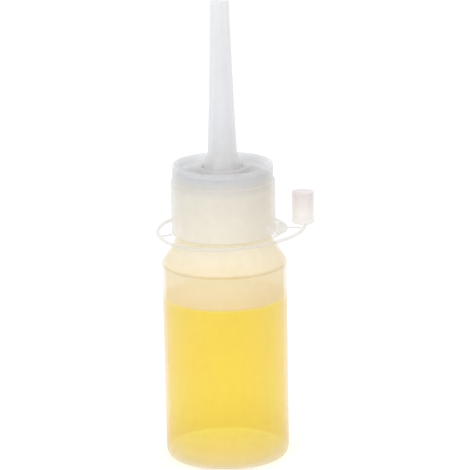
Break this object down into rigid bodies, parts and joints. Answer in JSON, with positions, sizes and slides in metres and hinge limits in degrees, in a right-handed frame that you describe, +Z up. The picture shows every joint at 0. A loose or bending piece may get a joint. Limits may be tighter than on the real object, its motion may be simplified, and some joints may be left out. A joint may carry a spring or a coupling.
{
  "type": "chain lube bottle",
  "caption": "Translucent squeeze bottle of chain oil with a threaded neck, screw cap, long tapered spout and a tethered tip cap.",
  "frame": {"origin": "on the bottle's axis, in the plane of the ring that it stands on", "axes": "+Z up along the bottle's axis towards the spout's tip; +X towards the tip cap on its tether; the picture looks along +Y"},
  "size_m": [0.0466, 0.0398, 0.1371],
  "materials": {
    "body_plastic": "translucent blown soft plastic, satin",
    "oil": "clear yellow oil",
    "spout_plastic": "translucent moulded soft plastic, satin",
    "cap_plastic": "translucent moulded soft plastic, satin",
    "tether_plastic": "translucent moulded soft plastic, satin"
  },
  "bodies": {
    "bottle": {"bottle": "body_plastic", "oil_fill": "oil"},
    "spout": {"spout": "spout_plastic"},
    "cap": {"screw_cap": "cap_plastic"},
    "tether": {"cap_tether": "tether_plastic"}
  },
  "joints": [
    {"name": "spout_lift", "type": "slide", "parent": "bottle", "child": "spout", "axis": [0, 0, 1], "range_m": [0, 0.00635]},
    {"name": "cap_turn", "type": "hinge", "parent": "spout", "child": "cap", "pos_m": [0, 0, 0.08], "axis": [0, 0, 1], "range_deg": [0, 540]},
    {"name": "tether_swivel", "type": "hinge", "parent": "bottle", "child": "tether", "pos_m": [0, 0, 0.068], "axis": [0, 0, 1], "continuous": true}
  ],
  "couplings": [
    {"joint": "spout_lift", "follows": "cap_turn", "m_per_rad": 0.00067323}
  ]
}
